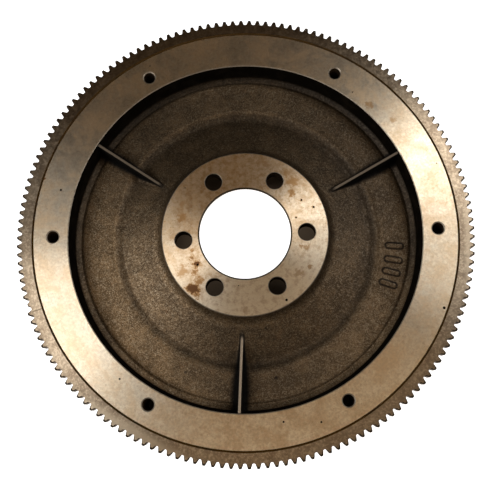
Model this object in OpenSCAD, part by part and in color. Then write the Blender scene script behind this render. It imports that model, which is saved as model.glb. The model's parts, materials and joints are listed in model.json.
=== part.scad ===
// Engine flywheel: one iron casting with a starter ring gear shrunk on to its rim.
// +Z points along the axis of rotation, towards the crankshaft.
// The origin is on that axis, in the plane of the crank seat.

/* [Hub] */
// Diameter of the bore that fits over the crankshaft's spigot
bore_d = 70.3; // [62:0.1:74]
// Diameter of the machined crank seat
hub_d = 128.7; // [122:0.1:132]
// Thickness of the hub flange
hub_t = 12.7; // [11:0.1:14]
// Diameter of the crank bolt circle
crank_pcd = 95.25; // [92:0.05:100]
// Diameter of each crank bolt hole
crank_hole_d = 13.5; // [11:0.1:14.5]
// Angle that the index hole is moved off its even place
index_shift = 5.2; // [2:0.1:8]

/* [Rim] */
// Height of the rim face above the crank seat
rim_rise = 2.4; // [0:0.1:4]
// Thickness of the rim, from its engine face to its clutch face
rim_t = 35.4; // [34:0.1:40]
// Diameter of the open cavity at the rim face
cavity_d = 272.8; // [271:0.1:275]
// Diameter of the seat under the ring gear
seat_d = 326.2; // [324:0.1:328]
// Diameter of the shoulder that the ring gear is pushed up to
shoulder_d = 333; // [331:0.1:335]
// Diameter of the clutch cover bolt circle
cover_pcd = 295.3; // [292:0.1:300]
// Diameter of each tapped cover hole, at the middle of its thread
cover_hole_d = 9; // [7:0.1:11]

/* [Web] */
// Depth of the raised web ring below the crank seat
web_drop = 16.2; // [15:0.1:17]
// Diameter of the step where the raised web ring starts
step_d = 204.4; // [196:0.1:212]
// Height of that step
step_h = 2.6; // [1:0.1:4]
// Diameter of the shallow groove round the foot of the cavity wall
groove_d = 257.6; // [255:0.1:259]
// Depth of that groove
groove_depth = 1.2; // [0.5:0.1:2]
// Diameter of the friction face's inner edge, on the clutch side
recess_d = 160; // [156:0.5:170]

/* [Ribs] */
// Thickness of each stiffening rib
rib_t = 2.6; // [2:0.1:5]
// Angle of the first rib from +X
rib_angle = 27.15; // [20:0.05:40]
// Radius where a rib's top runs out into the web
rib_start_r = 76; // [74:0.5:82]
// Depth of the rib's top below the rim face at the cavity wall
rib_end_drop = 1.8; // [1:0.1:6]

/* [Raised marks] */
// Length of each plain raised bar
mark_l = 14; // [8:0.5:16]
// Width of each bar
mark_w = 4.6; // [2:0.1:5]
// Height of each bar
mark_h = 0.9; // [0.3:0.1:2]

/* [Ring gear] */
// Number of teeth
teeth = 164; // [156:1:166]
// Diametral pitch that sets the tooth spacing, in teeth per inch
pitch_dp = 12; // [12:0.05:12.6]
// Diametral pitch that sets the tooth height, a stub form
height_dp = 14; // [13.5:0.5:16]
// Pressure angle of the teeth
pressure_angle = 20; // [14.5:0.5:20]
// Width of the ring along the axis
gear_w = 12.7; // [9:0.1:16]

/* [Cover dowels] */
// Diameter of the end of each dowel that enters the clutch cover
dowel_d = 8; // [6:0.5:9]
// Diameter of the end that is pressed into the rim
dowel_press_d = 8.6; // [6.6:0.1:9.6]
// Depth that each dowel is pressed into the rim
dowel_in = 12; // [8:0.5:16]
// Length of each dowel that stands out of the clutch face
dowel_out = 7; // [4:0.5:10]

/* [Hidden] */
$fn = 180;
INCH = 25.4;

bore_r = bore_d / 2;
hub_r = hub_d / 2;
step_r = step_d / 2;
groove_r = groove_d / 2;
cavity_r = cavity_d / 2;
seat_r = seat_d / 2;
shoulder_r = shoulder_d / 2;
recess_r = recess_d / 2;
cover_r = cover_pcd / 2;

clutch_z = rim_rise - rim_t;
gear_back_z = rim_rise - gear_w;
web_z = -web_drop;
step_foot_z = web_z - step_h;
rib_end_z = rim_rise - rib_end_drop;

edge = 0.6;             // small chamfer on machined edges
bore_edge = 1.2;        // lead-in chamfer of the bore
clutch_edge = 1;        // chamfer on the clutch side's edges
hole_edge = 0.8;        // chamfer of a cover hole on the engine side
hole_back_edge = 0.4;   // chamfer of a cover hole on the clutch side
hub_foot = [2, -7];     // foot of the hub's side, out from its edge and down
recess_floor_r = 61;    // flat floor for the crank bolt heads
wall_foot = [-2.4, 1];  // foot of the cavity wall, from its top edge and the web
bury = 3;               // how far ribs and bars run into the metal they stand on

holes_even = 6;
index_hole = 3;
mark_angles = [-4.6, -10, -14.9, -19.6];
mark_r = 117;

pitch_r = teeth / pitch_dp * INCH / 2;
tip_r = pitch_r + INCH / height_dp;
root_r = pitch_r - 1.25 * INCH / height_dp;
base_r = pitch_r * cos(pressure_angle);
backlash = 0.1;
tip_edge = 0.7;
flank_steps = 3;

dowel_n = 3;
dowel_angle = 30;
dowel_edge = 1;

// ---- Outlines with rounded corners ----

function unit(v) = v / norm(v);

// The arc that rounds corner b, between a and c
function corner_arc(a, b, c, r, n = 5) =
    let (
        u = unit(a - b),
        v = unit(c - b),
        half = acos(u * v) / 2,
        centre = b + unit(u + v) * r / sin(half),
        first = b + u * r / tan(half) - centre,
        last = b + v * r / tan(half) - centre,
        from = atan2(first[1], first[0]),
        turn = (atan2(last[1], last[0]) - from + 540) % 360 - 180
    )
    [for (i = [0:n]) centre + r * [cos(from + turn * i / n), sin(from + turn * i / n)]];

function place(p) = [p[0], p[1]];

// Each corner is [radius, height, rounding]
function rounded_outline(corners) =
    let (n = len(corners))
    [
        for (i = [0:n - 1])
            let (a = corners[(i + n - 1) % n], b = corners[i], c = corners[(i + 1) % n])
            each b[2] > 0 ? corner_arc(place(a), place(b), place(c), b[2]) : [place(b)]
    ];

// ---- Casting ----

engine_side = [
    [bore_r + bore_edge, 0, 0],
    [hub_r - edge, 0, 0],
    [hub_r, -edge, 0],
    [hub_r + hub_foot[0], hub_foot[1], 5],
    [step_r - step_h / 2, step_foot_z, 1.2],
    [step_r + step_h / 4, web_z, 1],
    [groove_r - 1.8, web_z, 1],
    [groove_r, web_z - groove_depth, 1],
    [groove_r + 2.2, web_z, 1],
    [cavity_r + wall_foot[0], web_z + wall_foot[1], 2.5],
    [cavity_r - edge, rim_rise - edge, 0],
    [cavity_r, rim_rise, 0],
    [seat_r - edge, rim_rise, 0],
    [seat_r, rim_rise - edge, 0]
];

clutch_side = [
    [seat_r, gear_back_z, 0],
    [shoulder_r, gear_back_z, 0],
    [shoulder_r, clutch_z + clutch_edge, 0],
    [shoulder_r - clutch_edge, clutch_z, 0],
    [recess_r + clutch_edge, clutch_z, 0],
    [recess_r - clutch_edge, clutch_z + clutch_edge, 0],
    [recess_floor_r, -hub_t, 4],
    [bore_r + edge, -hub_t, 0],
    [bore_r, -hub_t + edge, 0],
    [bore_r, -bore_edge, 0]
];

module casting_blank() {
    rotate_extrude() polygon(rounded_outline(concat(engine_side, clutch_side)));
}

module crank_holes() {
    for (i = [0:holes_even - 1]) {
        shift = i == index_hole ? index_shift : 0;
        rotate([0, 0, i * 360 / holes_even + shift])
            translate([crank_pcd / 2, 0, -hub_t - 1]) cylinder(d = crank_hole_d, h = hub_t + 2);
    }
}

// A 45 degree countersink that is e deep, at the end of a hole whose face looks along way (1 up, -1 down)
module hole_mouth(d, e, z, way) {
    translate([0, 0, z - e])
        cylinder(d1 = way > 0 ? d : d + 4 * e, d2 = way > 0 ? d + 4 * e : d, h = 2 * e);
}

module cover_holes() {
    for (i = [0:holes_even - 1])
        rotate([0, 0, i * 360 / holes_even]) translate([cover_r, 0, 0]) {
            translate([0, 0, clutch_z - 1]) cylinder(d = cover_hole_d, h = rim_t + 2);
            hole_mouth(cover_hole_d, hole_edge, rim_rise, 1);
            hole_mouth(cover_hole_d, hole_back_edge, clutch_z, -1);
        }
}

module dowel_holes() {
    for (i = [0:dowel_n - 1])
        rotate([0, 0, dowel_angle + i * 360 / dowel_n])
            translate([cover_r, 0, clutch_z - 1]) cylinder(d = dowel_press_d, h = dowel_in + 1);
}

// A thin gusset that rises from the web to the rim
module rib() {
    rotate([90, 0, 0]) linear_extrude(rib_t, center = true) polygon([
        [rib_start_r - bury, step_foot_z - bury],
        [cavity_r + bury, step_foot_z - bury],
        [cavity_r + bury, rib_end_z],
        [cavity_r, rib_end_z],
        [rib_start_r, rib_start_z],
        [rib_start_r - bury, rib_start_z]
    ]);
}

// Height of the web's cone where a rib's top runs out
rib_start_z = hub_foot[1] + (step_foot_z - hub_foot[1])
    * (rib_start_r - hub_r - hub_foot[0]) / (step_r - step_h / 2 - hub_r - hub_foot[0]);

module ribs() {
    for (i = [0:2]) rotate([0, 0, rib_angle + i * 120]) rib();
}

module rounded_bar(l, w, h) {
    translate([-(l - w) / 2, -w / 2, 0]) cube([l - w, w, h]);
    for (side = [-1, 1]) translate([side * (l - w) / 2, 0, 0]) cylinder(d = w, h = h);
}

module raised_marks() {
    for (a = mark_angles)
        rotate([0, 0, a])
            translate([mark_r, 0, web_z - bury]) rounded_bar(mark_l, mark_w, bury + mark_h);
}

module flywheel_casting() {
    color([0.36, 0.31, 0.26]) difference() {
        union() {
            casting_blank();
            ribs();
            raised_marks();
        }
        crank_holes();
        cover_holes();
        dowel_holes();
    }
}

// ---- Ring gear ----

// Involute angle of a point at radius r, in degrees
function involute(r) = sqrt(pow(r / base_r, 2) - 1) * 180 / PI - acos(base_r / r);

// Half of the angle that a tooth covers at radius r
function half_tooth(r) =
    90 / teeth - backlash / 2 / pitch_r * 180 / PI + involute(pitch_r) - involute(r);

function polar(r, a) = [r * cos(a), r * sin(a)];

flank = [for (i = [0:flank_steps]) root_r + (tip_r - root_r) * i / flank_steps];

gear_outline = [
    for (k = [0:teeth - 1]) each concat(
        [for (r = flank) polar(r, k * 360 / teeth - half_tooth(r))],
        [for (i = [flank_steps:-1:0]) polar(flank[i], k * 360 / teeth + half_tooth(flank[i]))]
    )
];

module ring_blank() {
    rotate_extrude() polygon([
        [seat_r, gear_back_z + edge],
        [seat_r + edge, gear_back_z],
        [tip_r - tip_edge, gear_back_z],
        [tip_r, gear_back_z + tip_edge],
        [tip_r, rim_rise - tip_edge],
        [tip_r - tip_edge, rim_rise],
        [seat_r + edge, rim_rise],
        [seat_r, rim_rise - edge]
    ]);
}

module ring_gear() {
    color([0.62, 0.58, 0.52]) intersection() {
        translate([0, 0, gear_back_z - 1]) linear_extrude(gear_w + 2) polygon(gear_outline);
        ring_blank();
    }
}

// ---- Cover dowels ----

// A stepped dowel: its press end is thicker, and the step lies in the clutch face
module cover_dowel(i) {
    dowel_r = dowel_d / 2;
    press_r = dowel_press_d / 2;
    color([0.75, 0.75, 0.77]) rotate([0, 0, dowel_angle + (i - 1) * 360 / dowel_n])
        translate([cover_r, 0, 0]) rotate_extrude() polygon([
            [0, clutch_z - dowel_out],
            [dowel_r - dowel_edge, clutch_z - dowel_out],
            [dowel_r, clutch_z - dowel_out + dowel_edge],
            [dowel_r, clutch_z],
            [press_r, clutch_z],
            [press_r, clutch_z + dowel_in - dowel_edge],
            [press_r - dowel_edge, clutch_z + dowel_in],
            [0, clutch_z + dowel_in]
        ]);
}

flywheel_casting();
ring_gear();
cover_dowel(1);  // cover_dowel_1
cover_dowel(2);  // cover_dowel_2
cover_dowel(3);  // cover_dowel_3
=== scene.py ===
"""Looks of the engine flywheel: its iron casting, the ring gear shrunk on to it and the cover dowels."""

import json
import math

import bmesh
import bpy
import numpy as np
from mathutils import Matrix, Vector, noise
from mathutils.geometry import delaunay_2d_cdt


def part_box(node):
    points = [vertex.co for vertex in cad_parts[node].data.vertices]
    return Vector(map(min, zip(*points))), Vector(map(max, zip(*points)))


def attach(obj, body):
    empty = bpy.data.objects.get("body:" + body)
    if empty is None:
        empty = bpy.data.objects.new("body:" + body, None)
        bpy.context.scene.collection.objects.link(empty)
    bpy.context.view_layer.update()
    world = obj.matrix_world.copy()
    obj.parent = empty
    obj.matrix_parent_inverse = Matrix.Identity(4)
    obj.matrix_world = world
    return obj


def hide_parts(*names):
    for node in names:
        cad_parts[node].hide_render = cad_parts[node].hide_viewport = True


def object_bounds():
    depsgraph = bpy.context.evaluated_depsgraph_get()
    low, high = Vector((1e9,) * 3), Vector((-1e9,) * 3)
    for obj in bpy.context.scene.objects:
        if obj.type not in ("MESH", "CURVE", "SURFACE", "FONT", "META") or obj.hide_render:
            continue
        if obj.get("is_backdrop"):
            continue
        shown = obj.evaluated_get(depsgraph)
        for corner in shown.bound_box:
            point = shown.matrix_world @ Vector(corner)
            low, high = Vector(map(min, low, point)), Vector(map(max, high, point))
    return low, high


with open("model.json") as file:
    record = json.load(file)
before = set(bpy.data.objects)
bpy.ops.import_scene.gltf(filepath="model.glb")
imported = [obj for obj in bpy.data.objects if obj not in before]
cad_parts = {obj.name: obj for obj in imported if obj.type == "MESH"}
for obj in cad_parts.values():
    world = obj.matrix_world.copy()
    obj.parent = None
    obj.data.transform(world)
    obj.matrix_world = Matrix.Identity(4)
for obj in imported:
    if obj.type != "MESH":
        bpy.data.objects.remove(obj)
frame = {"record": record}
cad_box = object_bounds()

# ---- Sizes, in millimetres ----

MM = 0.001
TAU = 2 * math.pi

mounts = {m["name"]: m for m in frame["record"]["mounts"]}
casting_lo, casting_hi = (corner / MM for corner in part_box("flywheel_casting"))
gear_lo, gear_hi = (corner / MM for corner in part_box("ring_gear"))

RIM_Z = gear_hi.z
GEAR_BACK_Z = gear_lo.z
CLUTCH_Z = casting_lo.z
SHOULDER_R = casting_hi.x
TIP_R = gear_hi.x
BORE_R = mounts["crank_register"]["dims"]["r_mm"]
HUB_BACK_Z = -mounts["crank_bolt_index"]["dims"]["length_mm"]
CRANK_HOLE_R = mounts["crank_bolt_index"]["dims"]["r_mm"]
CRANK_CIRCLE_R = mounts["crank_bolt_opposite"]["pos_m"][0] / MM
INDEX_X, INDEX_Y, _ = mounts["crank_bolt_index"]["pos_m"]
INDEX_ANGLE = math.degrees(math.atan2(INDEX_Y, INDEX_X))
COVER_CIRCLE_R = mounts["cover_bolts"]["dims"]["pcd_mm"] / 2
COVER_HOLE_R = mounts["cover_bolts"]["dims"]["hole_r_mm"]

HUB_R = 64.35
STEP_R = 102.2
STEP_H = 2.6
WEB_Z = -16.2
WEB_CROWN = 0.5             # how far the web's inner edge stands above its middle, and its outer edge below
GROOVE_R = 129.6
GROOVE_DEPTH = 1
CAVITY_R = 136.4
SEAT_R = 163.1
RECESS_R = 80
RECESS_FLOOR_R = 61
EDGE = 0.6
BORE_EDGE = 1.2
CLUTCH_EDGE = 1
JOINT_EDGE = 0.8            # chamfer on each side of the joint between the ring and the casting
JOINT_DEPTH = 1.1

RIB_ANGLES = [27.15 + 120 * i for i in range(3)]
RIB_HALF_T = 1.15           # half of a rib's thickness, where its top's rounding ends
RIB_CREST = 0.55            # half of the flat stretch on a rib's top
RIB_DRAFT = 14              # how much a rib's side rises for each millimetre inwards
RIB_FOOT = 2.2              # fillet at a rib's foot
RIB_START_R = 76
RIB_START_Z = -10.3
RIB_END_Z = RIM_Z - 1.8

RIB_RUB_AND_HIGHLIGHT = [0.42, 0.36, 0.95]     # how bare each rib's top is rubbed, and how strong its painted highlight is
RIB_SHADE_REACH = [7.6, 7.2, 9.5]          # reach of the painted shade beside each rib's outer end

MARK_ANGLES = [-4.6, -10, -14.9, -19.6]
MARK_R = 117
MARK_L = 14
MARK_W = 4.6
MARK_H = 0.9

INCH = 25.4
TEETH = 164
TEETH_PER_INCH = 12         # of pitch diameter
STUB_PER_INCH = 14          # the finer pitch that sets the teeth's height
PRESSURE_ANGLE = math.radians(20)
PITCH_R = TEETH / TEETH_PER_INCH * INCH / 2
ROOT_R = PITCH_R - 1.25 * INCH / STUB_PER_INCH
BASE_R = PITCH_R * math.cos(PRESSURE_ANGLE)
BACKLASH = 0.1
TIP_ROUNDING = 0.25         # how far a tip's corner is taken off
FLANK_STEPS = (0.12, 0.4, 0.7, 0.93)    # where a flank's points lie, as shares of the tooth's height
TIP_CHAMFER = 1.5           # how far a tooth's tip is cut back at its faces
FLANK_CHAMFER = 0.7
CHAMFER_DEPTH = 0.9
WORN_TOOTH_ANGLE = 197.2
WORN_TOOTH_HEIGHT = 0.55    # as a share of a whole tooth's
PLAIN_FACE_R = ROOT_R - 0.9     # a plain circle just inside the teeth
WELD_ANGLE = 199.7

THREAD_PITCH = 1.5
THREAD_DEPTH = 0.42         # how far a thread's crest and root lie from its middle
CRANK_HOLE_EDGE = 0.4
COVER_HOLE_EDGE = 0.8
COVER_HOLE_BACK_EDGE = 0.4
DOWEL_EDGE = 1

COLUMNS = 720               # columns round the cavity
SMOOTH_COLUMNS = 360        # columns round the turned sides
CAST_STEP = 1.6             # spacing of the cast surface's rows
SHARP_ANGLE = math.radians(32)
SAME_PLACE = 2e-6           # points nearer than this are one, in metres

# Material slots of the casting
TURNED, CAST, WALL, OXIDE, GROUND, BORED, WORN, EDGED, GRIMY = range(9)
# Material slots of the ring gear
GEAR_FACE, TOOTH, GRIME, TOOTH_EDGE = range(4)


# ---- Outlines ----

def rounded(corners, arc_steps=6):
    """A line of [radius, height] points from [radius, height, rounding] corners."""
    points = []
    for i, (r, z, rounding) in enumerate(corners):
        corner = np.array([r, z], float)
        if rounding == 0:
            points.append(corner)
            continue
        u = np.array(corners[i - 1][:2]) - corner
        v = np.array(corners[i + 1][:2]) - corner
        u, v = u / np.linalg.norm(u), v / np.linalg.norm(v)
        half = math.acos(np.clip(u @ v, -1, 1)) / 2
        between = (u + v) / np.linalg.norm(u + v)
        centre = corner + between * rounding / math.sin(half)
        first = corner + u * rounding / math.tan(half) - centre
        last = corner + v * rounding / math.tan(half) - centre
        for t in np.linspace(0, 1, arc_steps + 1):
            spoke = first * (1 - t) + last * t
            points.append(centre + spoke / np.linalg.norm(spoke) * rounding)
    return np.array(points)


def resampled(points, step):
    """The same line, with no stretch longer than step."""
    out = [points[0]]
    for a, b in zip(points, points[1:]):
        n = max(1, math.ceil(np.linalg.norm(b - a) / step))
        out += [a + (b - a) * k / n for k in range(1, n + 1)]
    return np.array(out)


def smoothstep(low, high, x):
    t = np.clip((x - low) / (high - low), 0, 1)
    return t * t * (3 - 2 * t)


def circle_angles(n):
    return np.arange(n) * TAU / n


def on_circle(r, degrees):
    return r * math.cos(math.radians(degrees)), r * math.sin(math.radians(degrees))


# ---- Meshes ----

PIT_SIDES = 12
PIT_STEPS = ((1, 0), (0.8, 0.55), (0.45, 0.92))     # (share of a pit's radius, share of its depth)
FLAT_TOLERANCE = 1e-7


class Solid:
    """The points and faces of one closed mesh, in millimetres."""

    def __init__(self):
        self.points = []
        self.faces = []
        self.slots = []

    def add(self, points):
        first = len(self.points)
        self.points += [tuple(map(float, p)) for p in points]
        return list(range(first, len(self.points)))

    def face(self, corners, slot):
        self.faces.append(tuple(corners))
        self.slots.append(slot)

    def ring(self, r, z, angles, x=0, y=0):
        """A closed loop of points round (x, y)."""
        r, z = np.broadcast_to(r, len(angles)), np.broadcast_to(z, len(angles))
        return self.add(zip(x + r * np.cos(angles), y + r * np.sin(angles), z))

    def bridge(self, loop_a, loop_b, slot):
        """A strip of four-sided faces between two closed loops of the same length."""
        n = len(loop_a)
        for i in range(n):
            j = (i + 1) % n
            self.face((loop_a[i], loop_a[j], loop_b[j], loop_b[i]), slot)

    def lathe(self, outline, angles, slot, loop, x=0, y=0):
        """Turns an outline round (x, y). loop is its first point's loop. Returns the last point's loop."""
        for r, z in outline[1:]:
            new = self.ring(r, z, angles, x, y)
            self.bridge(loop, new, slot)
            loop = new
        return loop

    def flat(self, outer, holes, slot, pits=(), z=0):
        """Fills the flat face between a loop and the holes in it. Each pit is (x, y, radius, depth)."""
        ids = [i for loop in (outer, *holes) for i in loop]
        edges, sunk = [], set()
        for x, y, radius, depth in pits:
            for share, drop in PIT_STEPS:
                loop = self.ring(radius * share, z - depth * drop, circle_angles(PIT_SIDES), x, y)
                first = len(ids)
                edges += [(first + k, first + (k + 1) % PIT_SIDES) for k in range(PIT_SIDES)]
                ids += loop
                if drop:
                    sunk.update(loop)
            sunk.update(self.add([(x, y, z - depth)]))
            ids.append(len(self.points) - 1)
        outlines, first = [], 0
        for loop in (outer, *holes):
            outlines.append(list(range(first, first + len(loop))))
            first += len(loop)
        flat_points = [Vector(self.points[i][:2]) for i in ids]
        result = delaunay_2d_cdt(flat_points, edges, outlines, 0, FLAT_TOLERANCE, True)
        _, _, triangles, sources, _, inside = result
        for triangle, owners in zip(triangles, inside):
            if list(owners) != [0]:
                continue
            corners = [ids[sources[k][0]] for k in triangle]
            self.face(corners, OXIDE if sunk.intersection(corners) else slot)

    def build(self, name, materials, soft_slots=()):
        """Makes the Blender object. Edges are sharp where the slot changes or the surface bends, but never
        between faces in soft_slots."""
        mesh = bpy.data.meshes.new(name)
        mesh.from_pydata([Vector(p) * MM for p in self.points], [], self.faces)
        mesh.polygons.foreach_set("material_index", self.slots)
        bm = bmesh.new()
        bm.from_mesh(mesh)
        bmesh.ops.remove_doubles(bm, verts=bm.verts, dist=SAME_PLACE)
        bmesh.ops.recalc_face_normals(bm, faces=bm.faces)
        for face in bm.faces:
            face.smooth = True
        for edge in bm.edges:
            slots = {face.material_index for face in edge.link_faces}
            plain = len(slots) == 1 and edge.calc_face_angle(0) < SHARP_ANGLE
            edge.smooth = plain or slots <= set(soft_slots)
        bm.to_mesh(mesh)
        bm.free()
        obj = bpy.data.objects.new(name, mesh)
        bpy.context.scene.collection.objects.link(obj)
        for material in materials:
            mesh.materials.append(material)
        return obj


# ---- The casting's cavity ----

CAVITY_FLOOR = rounded([
    [HUB_R, -EDGE, 0],
    [HUB_R + 2.5, -6.5, 10],
    [STEP_R - 3.8, WEB_Z - STEP_H, 7],
    [STEP_R + 2.6, WEB_Z + WEB_CROWN, 6],
    [GROOVE_R - 1.9, WEB_Z - WEB_CROWN, 1.6],
    [GROOVE_R, WEB_Z - WEB_CROWN - GROOVE_DEPTH, 1.6],
    [GROOVE_R + 2.3, WEB_Z - 0.3, 2],
    [CAVITY_R - 2.4, WEB_Z + 1, 2.5],
    [CAVITY_R - EDGE, RIM_Z - EDGE, 0],
])

# Where the wall's dark scale begins, and how high a rib stands there to be free of it
WALL_FROM_R = CAVITY_R - 3
WALL_FROM_Z = WEB_Z + 1.2
RIB_ON_WALL = 0.3

# The sand mould's grain: (size, how far it moves the surface)
SAND_LAYERS = ((22, 0.10), (7, 0.07), (2.6, 0.075))
SAND_FADE = 2.5             # distance over which the grain fades out at the turned edges

# Sideways places of the columns beside a rib, one for each RIB_COLUMN_STEP away from it
RIB_COLUMNS = [0, 0.35, 0.65, 0.9, 1.1, 1.25, 1.45, 1.75, 2.2, 2.9, 3.8, 5, 6.3]
RIB_COLUMN_STEP = 0.5       # degrees
RIB_REACH = 14              # degrees from a rib to where the columns are evenly spaced again


def lateral(r, theta, rib):
    """How far points lie to the side of a rib's middle plane, and whether they're on its side of the axis."""
    turn = theta - math.radians(rib)
    return r * np.sin(turn), np.cos(turn) > 0


def warped(r, theta):
    """Column angles, drawn together so that columns run parallel to each rib beside it."""
    out = theta.copy()
    steps = np.arange(len(RIB_COLUMNS)) * RIB_COLUMN_STEP
    for rib in RIB_ANGLES:
        turn = np.degrees((theta - math.radians(rib) + math.pi) % TAU - math.pi)
        beside = np.abs(turn) < RIB_REACH
        parallel = np.sign(turn) * np.interp(np.abs(turn), steps, RIB_COLUMNS)
        spread = smoothstep(steps[-1], RIB_REACH, np.abs(turn))
        side = parallel * (1 - spread) + r * np.sin(np.radians(turn)) * spread
        moved = math.radians(rib) + np.arcsin(np.clip(side / r, -1, 1))
        out = np.where(beside, moved, out)
    return out


def rib_height(r, theta, base):
    """Height of the ribs above the cavity's own surface."""
    top = RIB_START_Z + (RIB_END_Z - RIB_START_Z) * (r - RIB_START_R) / (CAVITY_R - RIB_START_R)
    full = np.maximum(top - base, 0)
    height = np.zeros_like(base)
    for rib in RIB_ANGLES:
        side, near = lateral(r, theta, rib)
        d = np.abs(side)
        rounding = RIB_HALF_T - RIB_CREST
        over = np.clip(d - RIB_CREST, 0, rounding)
        crown = full - (rounding - np.sqrt(rounding ** 2 - over ** 2))
        flank = crown - np.maximum(d - RIB_HALF_T, 0) * RIB_DRAFT
        fillet = np.minimum(RIB_FOOT, 0.6 * full)
        foot = RIB_HALF_T + (full - fillet) / RIB_DRAFT
        into = np.clip(foot + fillet - d, 0, fillet)
        curve = fillet - np.sqrt(np.maximum(fillet ** 2 - into ** 2, 0))
        rib_here = np.where(d < foot, np.maximum(flank, fillet), curve)
        height = np.maximum(height, np.where(near & (d < foot + fillet), rib_here, 0))
    return np.where(full > 0, height, 0)


def mark_height(r, theta):
    """Height of the plain raised bars that stand in for the casting's raised mark."""
    height = np.zeros_like(r)
    for angle in MARK_ANGLES:
        turn = theta - math.radians(angle)
        along = np.maximum(np.abs(r * np.cos(turn) - MARK_R) - (MARK_L - MARK_W) / 2, 0)
        outside = np.hypot(along, r * np.sin(turn)) - MARK_W / 2
        height = np.maximum(height, MARK_H * (1 - smoothstep(-0.7, 0.6, outside)))
    return height


def sand_grain(points):
    """How far the sand mould's grain moves each point, in millimetres."""
    moved = np.zeros(len(points))
    for size, amount in SAND_LAYERS:
        moved += amount * np.array([noise.noise(Vector(p) / size) for p in points])
    return moved


def outline_normals(outline):
    """The direction square to an outline at each of its points."""
    along = np.gradient(outline, axis=0)
    normal = np.stack([-along[:, 1], along[:, 0]], axis=1)
    return normal / np.linalg.norm(normal, axis=1)[:, None]


def cavity(solid, angles):
    """The cast cavity between the hub and the rim. Returns its first and last loop."""
    outline = resampled(CAVITY_FLOOR, CAST_STEP)
    normal = outline_normals(outline)
    r, base = (np.repeat(outline[:, k][:, None], len(angles), axis=1) for k in (0, 1))
    theta = warped(r, np.repeat(angles[None, :], len(outline), axis=0))
    z = base + rib_height(r, theta, base) + mark_height(r, theta)
    points = np.stack([r * np.cos(theta), r * np.sin(theta), z], axis=-1)
    run = np.r_[0, np.cumsum(np.linalg.norm(np.diff(outline, axis=0), axis=1))]
    fade = smoothstep(0, SAND_FADE, run) * smoothstep(0, SAND_FADE, run[-1] - run)
    grain = sand_grain(points.reshape(-1, 3)).reshape(r.shape) * fade[:, None]
    points[..., 0] += grain * normal[:, 0][:, None] * np.cos(theta)
    points[..., 1] += grain * normal[:, 0][:, None] * np.sin(theta)
    points[..., 2] += grain * normal[:, 1][:, None]
    loops = [solid.add(row) for row in points]
    on_wall = (outline[:, 0] > WALL_FROM_R) & (outline[:, 1] > WALL_FROM_Z)
    for k, (a, b) in enumerate(zip(loops, loops[1:])):
        if not on_wall[k]:
            solid.bridge(a, b, CAST)
            continue
        on_rib = rib_height(r[k], theta[k], base[k]) > RIB_ON_WALL
        for i in range(len(a)):
            j = (i + 1) % len(a)
            solid.face((a[i], a[j], b[j], b[i]), CAST if on_rib[i] else WALL)
    return loops[0], loops[-1]


# ---- Holes ----

def plain_hole(solid, x, y, r, edge, top_z, bottom_z, columns=48):
    """A drilled hole with small chamfers. Returns its top and bottom loop."""
    angles = circle_angles(columns)
    top = solid.ring(r + edge, top_z, angles, x, y)
    upper = solid.ring(r, top_z - edge, angles, x, y)
    middle = solid.ring(r, (top_z + bottom_z) / 2, angles, x, y)
    lower = solid.ring(r, bottom_z + edge, angles, x, y)
    bottom = solid.ring(r + edge, bottom_z, angles, x, y)
    solid.bridge(top, upper, EDGED)
    solid.bridge(upper, middle, OXIDE)
    solid.bridge(middle, lower, OXIDE)
    solid.bridge(lower, bottom, EDGED)
    return top, bottom


# Corners of one turn of the thread: (share of the pitch, crest -1 or root 1)
THREAD_STOPS = ((0, -1), (0.12, -1), (0.5, 1), (0.62, 1))


def thread(solid, x, y, low, high, angles):
    """A thread as one helix that fades out at both ends."""
    rows = []
    turns = math.ceil((high - low) / THREAD_PITCH) + 2
    for turn in range(turns):
        for share, way in THREAD_STOPS:
            z = np.clip(high - THREAD_PITCH * (turn - 1 + share + angles / TAU), low, high)
            fade = smoothstep(0, THREAD_PITCH, z - low) * smoothstep(0, THREAD_PITCH, high - z)
            rows.append(solid.ring(COVER_HOLE_R + way * THREAD_DEPTH * fade, z, angles, x, y))
    shift = len(THREAD_STOPS)
    for k in range(len(rows) - shift):
        above, below = rows[k], rows[k + 1]
        for i in range(len(angles) - 1):
            solid.face((above[i], above[i + 1], below[i + 1], below[i]), OXIDE)
        if k + 1 + shift < len(rows):
            solid.face((above[-1], rows[k + shift][0], rows[k + 1 + shift][0], below[-1]), OXIDE)


def tapped_hole(solid, x, y, columns=24):
    """A tapped through hole. Returns its top and bottom loop."""
    angles = circle_angles(columns)
    low = CLUTCH_Z + COVER_HOLE_BACK_EDGE
    high = RIM_Z - COVER_HOLE_EDGE
    top = solid.ring(COVER_HOLE_R + COVER_HOLE_EDGE, RIM_Z, angles, x, y)
    upper = solid.ring(COVER_HOLE_R, high, angles, x, y)
    solid.bridge(top, upper, EDGED)
    thread(solid, x, y, low, high, angles)
    lower = solid.ring(COVER_HOLE_R, low, angles, x, y)
    bottom = solid.ring(COVER_HOLE_R + COVER_HOLE_BACK_EDGE, CLUTCH_Z, angles, x, y)
    solid.bridge(lower, bottom, TURNED)
    return top, bottom


def blind_hole(solid, x, y, r, depth, columns=40):
    """A hole in the clutch face that doesn't go through. Returns its mouth."""
    angles = circle_angles(columns)
    mouth = solid.ring(r, CLUTCH_Z, angles, x, y)
    end = solid.ring(r, CLUTCH_Z + depth, angles, x, y)
    solid.bridge(mouth, end, OXIDE)
    solid.face(end, OXIDE)
    return mouth


# ---- The casting ----

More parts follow.
